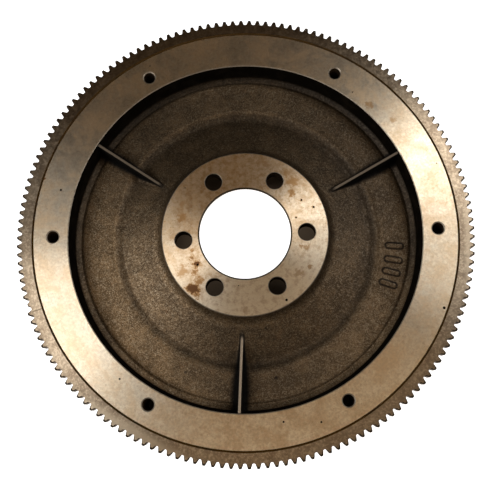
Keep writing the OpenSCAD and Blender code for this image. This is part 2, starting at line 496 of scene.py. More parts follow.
# Small sand holes and dents on the turned faces: (radius, angle, size, depth)
HUB_PITS = [(50.9, 29.8, 0.8, 0.5), (56.8, 20.1, 0.85, 0.5), (41.1, 16.1, 0.7, 0.4), (43.6, 213, 0.9, 0.5),
            (60.5, 300.2, 1.0, 0.5), (59.1, 141, 0.5, 0.3), (40.9, 262, 0.45, 0.3)]
RIM_PITS = [(144.3, 228.9, 0.8, 0.5), (144.5, 280.2, 0.75, 0.5), (152.4, 290.4, 0.8, 0.5),
            (146.9, 165.4, 0.95, 0.6), (160.2, 337.6, 1.1, 0.5), (141.7, 52, 0.5, 0.3),
            (156.2, 118, 0.55, 0.3), (158.3, 19, 0.5, 0.3)]


def placed(pits):
    return [(*on_circle(r, angle), size, depth) for r, angle, size, depth in pits]


def bore(solid, angles):
    """The bore, with a chamfer at each end. Returns its top and bottom loop."""
    outline = resampled(np.array([
        [BORE_R + BORE_EDGE, 0], [BORE_R, -BORE_EDGE],
        [BORE_R, HUB_BACK_Z + EDGE], [BORE_R + EDGE, HUB_BACK_Z]]), 3)
    top = solid.ring(*outline[0], angles)
    lip = solid.lathe(outline[:2], angles, WORN, top)
    return top, solid.lathe(outline[1:], angles, BORED, lip)


def rim_outside(solid, angles):
    """The rim's outside, under the ring gear and down to the clutch face. Returns its top and bottom loop."""
    outline = resampled(np.array([
        [SEAT_R - JOINT_EDGE, RIM_Z], [SEAT_R, RIM_Z - JOINT_DEPTH], [SEAT_R, GEAR_BACK_Z],
        [SHOULDER_R, GEAR_BACK_Z], [SHOULDER_R, CLUTCH_Z + CLUTCH_EDGE],
        [SHOULDER_R - CLUTCH_EDGE, CLUTCH_Z]]), 6)
    top = solid.ring(*outline[0], angles)
    joint_lip = solid.lathe(outline[:2], angles, GRIMY, top)
    return top, solid.lathe(outline[1:], angles, TURNED, joint_lip)


def clutch_recess(solid, angles):
    """The friction face's turned inner edge and the cast recess. Returns the edge's and the floor's loop."""
    outline = rounded([
        [RECESS_R - CLUTCH_EDGE, CLUTCH_Z + CLUTCH_EDGE, 0], [RECESS_FLOOR_R, HUB_BACK_Z, 4],
        [BORE_R + EDGE, HUB_BACK_Z, 0]])[:-1]
    edge = solid.ring(RECESS_R + CLUTCH_EDGE, CLUTCH_Z, angles)
    wall_top = solid.ring(*outline[0], angles)
    solid.bridge(edge, wall_top, TURNED)
    return edge, solid.lathe(resampled(outline, 2), angles, CAST, wall_top)


def crank_hole(solid, angle):
    """One crank bolt hole. The one at 180 degrees is shifted round to INDEX_ANGLE."""
    x, y = on_circle(CRANK_CIRCLE_R, INDEX_ANGLE if angle == 180 else angle)
    return plain_hole(solid, x, y, CRANK_HOLE_R, CRANK_HOLE_EDGE, 0, HUB_BACK_Z)


def dowel_hole(solid, name):
    """The hole that a dowel is pressed into. Returns its mouth."""
    lo, hi = (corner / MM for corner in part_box(name))
    return blind_hole(solid, (lo.x + hi.x) / 2, (lo.y + hi.y) / 2, (hi.x - lo.x) / 2, hi.z - CLUTCH_Z)


def casting(materials):
    """The whole casting as one closed mesh."""
    solid = Solid()
    angles = circle_angles(COLUMNS)
    turned_angles = circle_angles(SMOOTH_COLUMNS)
    hole_angles = range(0, 360, 60)

    # The cavity, with the turned chamfers of the hub and the rim at its two ends
    hub_foot, wall_top = cavity(solid, angles)
    hub_edge = solid.ring(HUB_R - EDGE, 0, warped(np.full(COLUMNS, HUB_R - EDGE), angles))
    rim_edge = solid.ring(CAVITY_R, RIM_Z, warped(np.full(COLUMNS, CAVITY_R), angles))
    solid.bridge(hub_edge, hub_foot, EDGED)
    solid.bridge(wall_top, rim_edge, EDGED)

    bore_top, bore_bottom = bore(solid, turned_angles)
    rim_outer, clutch_outer = rim_outside(solid, turned_angles)
    clutch_inner, recess_floor = clutch_recess(solid, turned_angles)
    crank_tops, crank_bottoms = zip(*(crank_hole(solid, angle) for angle in hole_angles))
    cover_holes = [tapped_hole(solid, *on_circle(COVER_CIRCLE_R, angle)) for angle in hole_angles]
    cover_tops, cover_bottoms = zip(*cover_holes)
    dowel_mouths = [dowel_hole(solid, name) for name in DOWELS]

    # The four flat faces between them
    solid.flat(hub_edge, [bore_top, *crank_tops], TURNED, placed(HUB_PITS), 0)
    solid.flat(rim_outer, [rim_edge, *cover_tops], TURNED, placed(RIM_PITS), RIM_Z)
    solid.flat(recess_floor, [bore_bottom, *crank_bottoms], GROUND)
    solid.flat(clutch_outer, [clutch_inner, *cover_bottoms, *dowel_mouths], GROUND)
    return solid.build("flywheel_casting_surface", materials, soft_slots=(CAST, WALL))


# ---- Ring gear ----

def involute(r):
    """The involute's turn from the base circle to radius r."""
    return math.sqrt((r / BASE_R) ** 2 - 1) - math.acos(BASE_R / r)


def half_tooth(r):
    """Half of the angle that a tooth covers at radius r."""
    return math.pi / 2 / TEETH - BACKLASH / 2 / PITCH_R + involute(PITCH_R) - involute(r)


def tooth_side(cut):
    """(radius, half angle) from the middle of the gap to the tooth's tip. cut is 1 at a chamfered face."""
    tip = TIP_R - TIP_CHAMFER * cut
    gap = math.pi / TEETH
    low = half_tooth(ROOT_R)
    side = [(ROOT_R, gap), (ROOT_R, low + (gap - low) * 0.45), (ROOT_R + 0.12, low + (gap - low) * 0.12)]
    for share in FLANK_STEPS:
        r = ROOT_R + (tip - ROOT_R) * share
        side.append((r, half_tooth(r) - FLANK_CHAMFER * cut * min(1, share * 2.5) / r))
    side.append((tip, side[-1][1] - TIP_ROUNDING / tip))
    return side


def gear_loop(cut):
    """Radii and angles of the toothed outline, tooth by tooth."""
    side = tooth_side(cut)
    r, angle = [], []
    for k in range(TEETH):
        middle = k * TAU / TEETH
        worn = abs(math.degrees(middle) - WORN_TOOTH_ANGLE) < 180 / TEETH
        wear = WORN_TOOTH_HEIGHT if worn else 1
        for radius, half in [(p[0], -p[1]) for p in side] + [(p[0], p[1]) for p in side[:0:-1]]:
            r.append(ROOT_R + (radius - ROOT_R) * wear)
            angle.append(middle + half)
    return np.array(r), np.array(angle)


def ring_gear(materials):
    """The whole ring as one closed mesh: two faces, the bore and the teeth."""
    solid = Solid()
    top_r, top_a = gear_loop(1)
    full_r, full_a = gear_loop(0)

    def face_side(z, way):
        """One face of the ring: the chamfered bore edge, the flat ring and the teeth's chamfers."""
        bore = solid.ring(SEAT_R, z - way * JOINT_DEPTH, full_a)
        edge = solid.ring(SEAT_R + JOINT_EDGE, z, full_a)
        middle = solid.ring((SEAT_R + JOINT_EDGE + PLAIN_FACE_R) / 2, z, full_a)
        plain = solid.ring(PLAIN_FACE_R, z, full_a)
        teeth = solid.ring(top_r, z, top_a)
        below = solid.ring(full_r, z - way * CHAMFER_DEPTH, full_a)
        for a, b, slot in ((bore, edge, GRIME), (edge, middle, GEAR_FACE), (middle, plain, GEAR_FACE),
                           (plain, teeth, GEAR_FACE), (teeth, below, TOOTH_EDGE)):
            solid.bridge(a, b, slot)
        return bore, below

    top_bore, top_teeth = face_side(RIM_Z, 1)
    back_bore, back_teeth = face_side(GEAR_BACK_Z, -1)
    solid.bridge(top_bore, back_bore, GRIME)
    solid.bridge(top_teeth, back_teeth, TOOTH)
    return solid.build("ring_gear_teeth", materials)


# ---- Cover dowels ----

DOWELS = [f"cover_dowel_{i}" for i in (1, 2, 3)]
DOWEL_PIN_R = mounts["cover_dowels"]["dims"]["stud_r_mm"]


def cover_dowel(name, materials):
    """One stepped dowel: a thick pressed-in end and a thinner end that stands out."""
    lo, hi = (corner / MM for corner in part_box(name))
    x, y, press_r = (lo.x + hi.x) / 2, (lo.y + hi.y) / 2, (hi.x - lo.x) / 2
    outline = resampled(rounded([
        [DOWEL_PIN_R - DOWEL_EDGE - 1, lo.z, 0], [DOWEL_PIN_R - DOWEL_EDGE, lo.z, 0.4],
        [DOWEL_PIN_R, lo.z + DOWEL_EDGE, 0.5], [DOWEL_PIN_R, CLUTCH_Z, 0], [press_r, CLUTCH_Z, 0],
        [press_r, hi.z - DOWEL_EDGE, 0.5], [press_r - DOWEL_EDGE, hi.z, 0.4],
        [press_r - DOWEL_EDGE - 1, hi.z, 0]]), 2.5)
    solid = Solid()
    angles = circle_angles(64)
    first = solid.ring(*outline[0], angles, x, y)
    last = solid.lathe(outline, angles, 0, first, x, y)
    solid.face(first, 0)
    solid.face(last, 0)
    return solid.build(name + "_pin", materials)


# ---- Materials ----

class Nodes:
    """A material's node tree, built by short calls."""

    def __init__(self, name):
        self.material = bpy.data.materials.new(name)
        self.material.use_nodes = True
        self.tree = self.material.node_tree
        self.tree.nodes.clear()
        self.place = self.add("TexCoord").outputs["Object"]

    def add(self, kind, inputs=(), **settings):
        """A new node. An input is a value, or a socket to link from."""
        node = self.tree.nodes.new("ShaderNode" + kind)
        for key, value in settings.items():
            setattr(node, key, value)
        for key, value in dict(inputs).items():
            if isinstance(value, bpy.types.NodeSocket):
                self.tree.links.new(value, node.inputs[key])
            else:
                node.inputs[key].default_value = value
        return node

    def math(self, operation, a, b=0.0, clamp=False):
        return self.add("Math", {0: a, 1: b}, operation=operation, use_clamp=clamp).outputs[0]

    def product(self, first, *others):
        for value in others:
            first = self.math("MULTIPLY", first, value)
        return first

    def total(self, first, *others):
        for value in others:
            first = self.math("ADD", first, value)
        return first

    def rest(self, value):
        """What is missing from a value to 1."""
        return self.math("SUBTRACT", 1.0, value)

    def noise(self, size_mm, detail=3, rough=0.55, warp=0):
        """Noise with features of about size_mm, from 0 to 1."""
        inputs = {"Vector": self.place, "Scale": 1 / (size_mm * MM), "Detail": detail,
                  "Roughness": rough, "Distortion": warp}
        return self.add("TexNoise", inputs).outputs["Fac"]

    def grooves(self, along, size_mm, detail=3.0):
        """Noise that changes along one value only, as lathe marks do."""
        inputs = {"W": along, "Scale": 1 / (size_mm * MM), "Detail": detail}
        return self.add("TexNoise", inputs, noise_dimensions="1D").outputs["Fac"]

    def lathe_direction(self):
        """The direction round the axis, along the lathe marks."""
        return self.add("Tangent", direction_type="RADIAL", axis="Z").outputs[0]

    def ramp(self, value, low, high, to_low=0.0, to_high=1.0):
        """A smooth change from to_low to to_high while the value goes from low to high."""
        inputs = {"Value": value, "From Min": low, "From Max": high, "To Min": to_low, "To Max": to_high}
        return self.add("MapRange", inputs, interpolation_type="SMOOTHSTEP").outputs["Result"]

    def mix(self, share, a, b, blend="MIX"):
        node = self.add("Mix", data_type="RGBA", blend_type=blend)
        for key, value in ((0, share), (6, a), (7, b)):
            if isinstance(value, bpy.types.NodeSocket):
                self.tree.links.new(value, node.inputs[key])
            else:
                node.inputs[key].default_value = (*value, 1) if key else value
        return node.outputs[2]

    def toward(self, degrees):
        """How far a point lies from the axis in one direction, in metres."""
        way = (*on_circle(1, degrees), 0)
        return self.add("VectorMath", {0: self.place, 1: way}, operation="DOT_PRODUCT").outputs["Value"]

    def side(self, degrees, r, start, end, low=0.0, high=1.0):
        """low on one side of the part and high on the other, the one in the direction of degrees. The change
        runs from start to end, which are shares of the radius r (in millimetres) along that direction."""
        return self.ramp(self.toward(degrees), start * r * MM, end * r * MM, low, high)

    def band(self, start_mm, end_mm, low=0.0, high=1.0):
        """low inside the radius start_mm and high outside end_mm."""
        return self.ramp(self.radius(), start_mm * MM, end_mm * MM, low, high)

    def flat_place(self):
        """The point's x and y, with no height."""
        return self.add("VectorMath", {0: self.place, 1: (1, 1, 0)}, operation="MULTIPLY").outputs[0]

    def radius(self):
        """Distance from the flywheel's axis, in metres."""
        return self.add("VectorMath", {0: self.flat_place()}, operation="LENGTH").outputs["Value"]

    def spot(self, r, degrees, size):
        """1 at a place on a face, falling to 0 about size away from it, with a ragged edge. Millimetres."""
        ends = {0: self.flat_place(), 1: (*on_circle(r * MM, degrees), 0)}
        away = self.add("VectorMath", ends, operation="DISTANCE").outputs["Value"]
        patches = self.noise(max(size * 0.7, 1.2), 5, 0.65)
        ragged = self.product(self.math("SUBTRACT", patches, 0.5), size * 3.2 * MM)
        return self.ramp(self.total(away, ragged), size * 0.25 * MM, size * 1.2 * MM, 1.0, 0.0)

    def most(self, values):
        """The largest of some values."""
        largest = 0.0
        for value in values:
            largest = self.math("MAXIMUM", largest, value)
        return largest

    def bump(self, height, depth_mm, under=None):
        """A normal bent by a height. under is the normal of another bump below this one."""
        inputs = {"Height": height, "Distance": depth_mm * MM, "Strength": 1.0}
        if under:
            inputs["Normal"] = under
        return self.add("Bump", inputs).outputs["Normal"]

    def shade(self, **inputs):
        """Ends the tree in a Principled BSDF. A name's underscores stand for spaces."""
        shader = self.add("BsdfPrincipled", {key.replace("_", " "): value for key, value in inputs.items()})
        output = self.add("OutputMaterial")
        self.tree.links.new(shader.outputs[0], output.inputs["Surface"])
        return self.material


RUST = (0.12, 0.050, 0.017)
BROWN = (0.44, 0.25, 0.105)
STRETCH = 0.85              # how strongly lathe marks stretch highlights
STRETCH_TURN = 0.25         # a quarter turn, so that they stretch across the marks


def shaded(colour, share):
    """The same colour with a share of its brightness."""
    return tuple(channel * share for channel in colour)


def turned_iron(name, light, dark, stains=(), hub_film=0.0):
    """Lathe-turned iron: fine grooves round the axis, a patchy tan film and rust stains. On the hub the film
    thins towards 285 degrees as painted light. hub_film is how strongly the hub's brown film shows."""
    n = Nodes(name)
    radius = n.radius()
    rings = n.grooves(radius, 0.55)
    wide_rings = n.grooves(radius, 3.5, 2.0)
    mottle = n.noise(4.5, 5, 0.68)
    film = n.total(n.product(n.noise(26, 4, 0.6, 0.6), 0.5), n.product(mottle, 0.5))
    on_hub = n.band(HUB_R + 1, HUB_R + 4, hub_film, 0)
    # Painted light: the film thins on the hub towards 285 degrees
    film_thinned_where_lit = n.rest(n.product(on_hub, n.side(285, HUB_R, 0, 0.8)))
    colour = n.mix(n.product(n.ramp(film, 0.38, 0.62), film_thinned_where_lit), light, dark)
    colour = n.mix(n.ramp(rings, 0.35, 0.75, 0, 0.25), colour, dark)
    colour = n.mix(n.ramp(wide_rings, 0.45, 0.7, 0, 0.15), colour, dark)
    colour = n.mix(hub_brown(n, on_hub), colour, BROWN)
    freckles = n.product(n.ramp(n.noise(1.7, 3, 0.6), 0.57, 0.68, 0, 0.5), n.total(0.7, on_hub), film_thinned_where_lit)
    colour = n.mix(freckles, colour, BROWN)
    specks = n.product(n.ramp(n.noise(1.9, 3, 0.65), 0.36, 0.64, 0, 0.40), film_thinned_where_lit)
    colour = n.mix(specks, colour, shaded(dark, 0.72))
    rust = n.most(n.product(n.spot(r, degrees, size), strength) for r, degrees, size, strength in stains)
    colour = n.mix(n.ramp(rust, 0.05, 0.65), colour, n.mix(n.ramp(rust, 0.55, 1.0), BROWN, RUST))
    roughness = n.total(n.ramp(film, 0.3, 0.7, 0.30, 0.44), n.product(on_hub, 0.11))
    height = n.bump(mottle, 0.02, under=n.bump(rings, 0.035))
    return n.shade(Base_Color=colour, Metallic=n.rest(n.product(rust, rust, 0.2)), Roughness=roughness,
                   Anisotropic=STRETCH, Anisotropic_Rotation=STRETCH_TURN, Tangent=n.lathe_direction(),
                   Normal=height)


def hub_brown(n, on_hub):
    """The hub's brown film: patchy, darkened towards 130 degrees and thinned towards 190 degrees as painted
    shade and light.
    """
    patches = n.ramp(n.noise(5, 5, 0.7), 0.42, 0.66, -0.2, 0.42)
    # Painted shade towards 130 degrees
    brown = n.total(patches, n.side(130, HUB_R, -0.6, 0.45, 0.08, 0.70))
    # Painted light towards 190 degrees
    rubbed = n.side(190, HUB_R, 0.65, 0.95, 1.0, 0.4)
    return n.math("MULTIPLY", n.product(on_hub, rubbed), brown, clamp=True)


def plain_metal(name, light, dark, roughness):
    """Bare metal without a grain, as on chamfers, tooth flanks and the bore."""
    n = Nodes(name)
    mottle = n.noise(3, 4, 0.6)
    colour = n.mix(n.ramp(mottle, 0.4, 0.65), light, dark)
    uneven = n.ramp(mottle, 0.3, 0.7, roughness, roughness * 1.3)
    return n.shade(Base_Color=colour, Metallic=1.0, Roughness=uneven, Normal=n.bump(mottle, 0.03))


GRAIN_TAN = (0.096, 0.074, 0.048)
FINE_TAN = (0.105, 0.082, 0.055)
CAST_RUST = (0.07, 0.034, 0.014)
# The rib tops' colour: rubbed iron with a painted highlight
RUBBED_LIT_IRON = (0.30, 0.235, 0.17)

# Dark dents in the cast surface: (radius, angle, size)
DENTS = [(114.6, 245.2, 1.3), (111.7, 281.1, 1.8), (74, 281, 1.3)]

# Sides of the cavity darkened as painted shade: (direction, where it starts as a share of CAVITY_R, how much
# darker)
SHADED_SIDES = [(22, 0.4, 0.28), (150, 0.62, 0.38), (268, 0.6, 0.34)]


def cast_iron(name, light, dark):
    """Sand-cast iron under a brown film: a fine grain, darker lumps and blotches, painted shade in the
    corners and beside the ribs, and painted light on its lit sides.
    """
    n = Nodes(name)
    grain = n.noise(1.9, 3, 0.6)
    fine = n.noise(0.8, 3, 0.6)
    lumps = n.noise(5, 4, 0.65)
    # Painted shade: dark bands beside the ribs
    rib_shadows = n.most(rib_shade(n))
    # Rubbed rib tops, lightened further as a painted highlight
    tops = n.most(lit_rubbed_rib_tops(n))
    colour = cast_film(n, grain, fine, lumps, light, dark)
    # Painted light and shade multiply the film's brightness here
    colour = n.mix(1.0, colour, n.product(painted_light_share(n), shade_and_dent_share(n), n.rest(rib_shadows)), "MULTIPLY")
    colour = n.mix(tops, colour, RUBBED_LIT_IRON)
    height = n.bump(lumps, 0.25, under=n.bump(fine, 0.16, under=n.bump(grain, 0.40)))
    # Rougher where the painted shade beside the ribs lies
    shadowed = n.math("SUBTRACT", rib_shadows, tops, clamp=True)
    roughness = n.total(n.ramp(grain, 0.3, 0.7, 0.52, 0.38), n.product(shadowed, 0.4))
    return n.shade(Base_Color=colour, Metallic=0.6, Roughness=roughness, Normal=height,
                   Specular_IOR_Level=0.2)


def cast_film(n, grain, fine, lumps, light, dark):
    """The cast surface's own colour, before wear and soot."""
    colour = n.mix(n.ramp(n.noise(17, 4, 0.6, 0.4), 0.35, 0.65), dark, light)
    colour = n.mix(n.ramp(lumps, 0.35, 0.6, 0.45, 0), colour, shaded(dark, 0.6))
    colour = n.mix(n.ramp(grain, 0.5, 0.72, 0, 0.6), colour, GRAIN_TAN)
    colour = n.mix(n.ramp(grain, 0.30, 0.46, 0.5, 0), colour, shaded(dark, 0.5))
    colour = n.mix(n.ramp(fine, 0.54, 0.66, 0, 0.75), colour, FINE_TAN)
    colour = n.mix(n.ramp(fine, 0.34, 0.48, 0.8, 0), colour, shaded(dark, 0.4))
    return n.mix(n.ramp(n.noise(9, 5, 0.7), 0.6, 0.78, 0, 0.35), colour, CAST_RUST)


def painted_light_share(n):
    """How bright the film is, as painted light and shade: most towards 203 degrees and a little towards 320,
    where the lamps fall, more on the web than on the cone, whose painted shade deepens towards the step's
    foot, and lighter on the hub's foot towards 228 degrees.
    """
    # Painted light: brighter towards 203 and 320 degrees, where the lamps fall
    wear = n.total(n.side(203, CAVITY_R, 0.22, 0.88, 0.9, 2.4), n.side(320, CAVITY_R, 0.2, 0.8, 0, 0.36))
    # Painted shade deepening down the cone towards the step's foot, and painted light on the web past it
    cone = n.band(HUB_R + 20, STEP_R - 1, 1.12, 0.78)
    web = n.band(STEP_R - 1.2, STEP_R + 2.4, 0, 0.70)
    web_edge = n.band(GROOVE_R - 11, GROOVE_R - 4, 0, 0.3)
    # Painted light on the hub's foot towards 228 degrees
    hub_foot = n.product(n.band(HUB_R + 3, HUB_R + 11, 0.85, 0.0), n.side(228, HUB_R, 0, 0.8))
    return n.product(wear, n.total(cone, web, web_edge, hub_foot))


def shade_and_dent_share(n):
    """What painted shade and the dark dents leave of the film's brightness: shade in and beyond the groove,
    at the wall's foot, on some sides of the cavity and round the raised bars.
    """
    # Painted shade in the groove, turning to painted light towards 285 degrees
    groove_shade = n.product(n.band(GROOVE_R - 1.4, GROOVE_R), n.side(285, CAVITY_R, 0.3, 0.7, 0.65, -0.25))
    far_shade = n.product(n.band(GROOVE_R - 0.5, GROOVE_R + 2.6, 0, 0.3), n.side(115, CAVITY_R, -0.1, 0.35))
    # Painted shade at the foot of the wall
    below_wall = n.band(CAVITY_R - 3.2, CAVITY_R - 1.6, 1.0, 0.1)
    shaded_sides = n.most(n.side(degrees, CAVITY_R, start, 0.86, 0, amount) for degrees, start, amount in SHADED_SIDES)
    dents = n.most(n.product(n.spot(r, degrees, size), 0.75) for r, degrees, size in DENTS)
    unshaded = n.product(below_wall, n.rest(groove_shade), n.rest(far_shade))
    return n.product(unshaded, n.rest(shaded_sides), n.rest(dents), n.rest(n.most(mark_shade(n))))


def rib_shade(n):
    """The painted shade beside each rib: dark bands that widen towards the rim."""
    for rib, reach in zip(RIB_ANGLES, RIB_SHADE_REACH):
        along = n.toward(rib)
        away = n.math("ABSOLUTE", n.toward(rib + 90))
        width = n.ramp(along, RIB_START_R * MM, (CAVITY_R - 14) * MM, 2.4 * MM, reach * MM)
        dark = n.ramp(n.math("DIVIDE", away, width), 0.45, 1.05, 0.97, 0)
        yield n.product(dark, n.ramp(along, (RIB_START_R - 4) * MM, (RIB_START_R + 4) * MM))


def lit_rubbed_rib_tops(n):
    """The rubbed top of each rib, with a painted highlight on it."""
    for rib, rubbed in zip(RIB_ANGLES, RIB_RUB_AND_HIGHLIGHT):
        away = n.math("ABSOLUTE", n.toward(rib + 90))
        top = n.ramp(away, 0.6 * MM, 1.25 * MM, rubbed, 0)
        yield n.product(top, n.ramp(n.toward(rib), (RIB_START_R + 1) * MM, (RIB_START_R + 6) * MM))


def mark_shade(n):
    """The painted shade round each raised bar."""
    for angle in MARK_ANGLES:
        from_middle = n.math("ABSOLUTE", n.math("SUBTRACT", n.toward(angle), MARK_R * MM))
        along = n.math("MAXIMUM", n.math("SUBTRACT", from_middle, (MARK_L - MARK_W) / 2 * MM), 0.0)
        across = n.toward(angle + 90)
        away = n.math("SQRT", n.total(n.product(along, along), n.product(across, across)))
        from_edge = n.math("ABSOLUTE", n.math("SUBTRACT", away, MARK_W / 2 * MM))
        yield n.ramp(from_edge, 0.3 * MM, 1.2 * MM, 0.8, 0)


def dark_scale(name, colour, patch):
    """The nearly black scale on the cavity's wall and inside holes."""
    n = Nodes(name)
    grain = n.noise(2.4, 4, 0.6)
    tint = n.mix(n.ramp(n.noise(11, 4, 0.6), 0.45, 0.7), colour, patch)
    height = n.bump(grain, 0.3)
    return n.shade(Base_Color=tint, Roughness=n.ramp(grain, 0.3, 0.7, 0.9, 0.7), Normal=height,
                   Specular_IOR_Level=0.0)


STEEL_TAN = (0.50, 0.39, 0.27)
STEEL_BROWN = (0.34, 0.25, 0.165)
STEEL_MOTTLE = (0.27, 0.19, 0.12)
STEEL_DARK = (0.20, 0.15, 0.105)
STEEL_BRIGHT = (0.64, 0.52, 0.375)
STEEL_TOOTH_BAND = (0.20, 0.15, 0.10)
STEEL_TIP_SHADE = (0.05, 0.042, 0.032)
SEAM_BROWN = (0.07, 0.045, 0.022)

# Painted light and shade on the gear's face: (direction, where it starts and is full as shares of TIP_R,
# strength, colour)
GEAR_PAINTED_LIGHT = [
    (106, 0.62, 0.9, 0.5, (0.16, 0.105, 0.055)),
    (240, 0.93, 0.968, 0.8, (0.60, 0.48, 0.34)),
    (357, 0.945, 0.968, 0.6, (0.60, 0.48, 0.34)),
    (302, 0.84, 0.95, 0.22, (0.17, 0.145, 0.12)),
]


def gear_steel(name):
    """The ring gear's steel: a tan heat tint, darker towards the teeth, painted light and shade by direction
    and beside the tips, and grime in its joint.
    """
    n = Nodes(name)
    patches = n.noise(15, 4, 0.6, 0.5)
    mottle = n.noise(3.2, 4, 0.6)
    fine = n.noise(1.7, 3, 0.65)
    colour = n.mix(n.ramp(patches, 0.38, 0.62), STEEL_TAN, STEEL_BROWN)
    colour = n.mix(n.ramp(mottle, 0.4, 0.7, 0, 0.4), colour, STEEL_MOTTLE)
    colour = n.mix(n.ramp(fine, 0.40, 0.62, 0, 0.5), colour, STEEL_DARK)
    colour = n.mix(n.ramp(fine, 0.36, 0.50, 0.55, 0), colour, STEEL_BRIGHT)
    colour = n.mix(n.band(PLAIN_FACE_R - 2.4, PLAIN_FACE_R + 2.6, 0, 0.45), colour, STEEL_TOOTH_BAND)
    # Painted light towards 240 and 357 degrees, painted shade towards 106 and 302 degrees
    for degrees, start, end, amount, tint in GEAR_PAINTED_LIGHT:
        colour = n.mix(n.side(degrees, TIP_R, start, end, 0, amount), colour, tint)
    # Painted shade on the face beside the teeth's tips
    colour = n.mix(n.band(TIP_R - 1.8, TIP_R - 1.0, 0, 0.7), colour, STEEL_TIP_SHADE)
    colour = n.mix(weld_seam(n), colour, SEAM_BROWN)
    height = n.bump(mottle, 0.05, under=n.bump(n.grooves(n.radius(), 0.7), 0.03))
    return n.shade(Base_Color=colour, Metallic=1.0, Roughness=n.ramp(mottle, 0.3, 0.7, 0.30, 0.42),
                   Anisotropic=STRETCH, Anisotropic_Rotation=STRETCH_TURN, Tangent=n.lathe_direction(),
                   Normal=height)


def weld_seam(n):
    """The dark line across the ring where its ends were welded."""
    across = n.total(n.toward(WELD_ANGLE + 90), n.product(n.noise(2, 2), 0.5 * MM))
    line = n.ramp(n.math("ABSOLUTE", across), 0.15 * MM, 0.55 * MM, 0.75, 0)
    near_side = n.ramp(n.toward(WELD_ANGLE), 0, MM)
    return n.product(line, near_side, n.band(ROOT_R - 1.5, ROOT_R + 1, 1, 0.3))


def pin_steel(name):
    """Ground dowel steel, with fine marks round each pin and a little brown at the face."""
    n = Nodes(name)
    height = n.add("SeparateXYZ", {0: n.place}).outputs["Z"]
    colour = n.mix(n.ramp(n.noise(2.5, 4, 0.6), 0.4, 0.7), (0.72, 0.70, 0.67), (0.52, 0.48, 0.43))
    colour = n.mix(n.ramp(height, (CLUTCH_Z - 1.2) * MM, CLUTCH_Z * MM, 0, 0.6), colour, BROWN)
    marks = n.bump(n.grooves(height, 0.3), 0.01)
    return n.shade(Base_Color=colour, Metallic=1.0, Roughness=0.26, Normal=marks)


# Rust on the turned faces: (radius, angle, size, strength)
STAINS = [(44, 212.4, 3.8, 1.0), (44.8, 204.3, 2.6, 0.8), (42.5, 197, 1.8, 0.8), (49, 217, 3, 0.75),
          (58.4, 226.5, 7, 0.95), (51, 226, 4.5, 0.7), (53.8, 154.1, 5, 0.45), (50.2, 164.8, 5, 0.65),
          (55, 180, 5, 0.35), (52.7, 125.2, 5, 0.3), (50.6, 30, 1.5, 0.8), (56.7, 20.1, 1.5, 0.8),
          (41.3, 16.7, 1.3, 0.6), (48.1, 40.2, 4.2, 0.7), (55.5, 47, 6.5, 0.6), (57.3, 56, 4.5, 0.5),
          (58, 75, 6, 0.35), (48.7, 345.9, 3, 0.5), (44.1, 345.6, 2, 0.55), (51.1, 322.5, 5, 0.4),
          (56.1, 330.8, 2.6, 0.5), (60, 270, 4, 0.35), (44, 178, 2.6, 0.5), (56, 211, 6, 0.5),
          (141.6, 45.2, 4, 0.5), (146.9, 36.6, 3.5, 0.45), (162, 163.3, 1.2, 0.9)]

turned = turned_iron("turned_iron", (0.95, 0.83, 0.65), (0.74, 0.555, 0.358), STAINS, hub_film=0.85)
ground = turned_iron("ground_iron", (0.62, 0.59, 0.55), (0.42, 0.385, 0.34))
cast = cast_iron("cast_iron", (0.060, 0.0380, 0.0190), (0.034, 0.0212, 0.0102))
wall = dark_scale("wall_scale", (0.004, 0.003, 0.002), (0.008, 0.006, 0.004))
oxide = dark_scale("hole_oxide", (0.008, 0.005, 0.003), (0.022, 0.014, 0.008))
bored = plain_metal("bored_iron", (0.92, 0.90, 0.87), (0.85, 0.82, 0.78), 0.10)
worn = plain_metal("worn_edges", (0.14, 0.105, 0.07), (0.08, 0.06, 0.04), 0.40)
edged = plain_metal("edge_iron", (0.42, 0.36, 0.285), (0.31, 0.25, 0.185), 0.48)
grime = dark_scale("joint_grime", (0.050, 0.026, 0.007), (0.030, 0.018, 0.008))
steel = gear_steel("gear_steel")
tooth_steel = plain_metal("tooth_steel", (0.36, 0.29, 0.21), (0.20, 0.15, 0.10), 0.36)
# The teeth's chamfers: near-black painted shade
tooth_edge = dark_scale("tooth_edge_grime", (0.030, 0.022, 0.014), (0.060, 0.044, 0.028))
pin = pin_steel("dowel_steel")

# ---- The object ----

flywheel = casting([turned, cast, wall, oxide, ground, bored, worn, edged, grime])
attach(flywheel, "root")
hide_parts("flywheel_casting")

gear = ring_gear([steel, tooth_steel, grime, tooth_edge])
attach(gear, "root")
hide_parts("ring_gear")

for dowel_name in DOWELS:
    dowel = cover_dowel(dowel_name, [pin])
    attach(dowel, "root")
    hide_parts(dowel_name)

# ---- Stage, lights and camera ----

FLOOR_Z = cad_box[0].z
FLOOR_R = 12
BACKDROP_R = 11
SHADE_SHEET_R = 0.160               # a dark sheet of painted shade under the part, which shows through the crank holes
SHADE_SHEET_HOLE = (-0.0005, 0.007, 0.038)      # x, y and radius of the dark sheet's hole, seen through the bore
GLOW_R = 0.045              # the white disc that shows through the dark sheet's hole
# How far below the part each sheet lies
SHADE_SHEET_DEPTH, GLOW_DEPTH, FLOOR_DEPTH, BOUNCE_DEPTH = 0.0003, 0.0005, 0.0006, 0.0009
DISC_SIDES = 96
ALL_RAYS = ("camera", "diffuse", "glossy", "transmission", "shadow", "volume_scatter")


def stage_object(name, bm, material):
    """Puts a finished mesh on the stage."""
    mesh = bpy.data.meshes.new(name)
    bm.to_mesh(mesh)
    bm.free()
    mesh.materials.append(material)
    obj = bpy.data.objects.new(name, mesh)
    bpy.context.scene.collection.objects.link(obj)
    obj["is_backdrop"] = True
    return obj


def circle_points(bm, x, y, r, z):
    return [bm.verts.new((x + r * math.cos(a), y + r * math.sin(a), z)) for a in circle_angles(DISC_SIDES)]


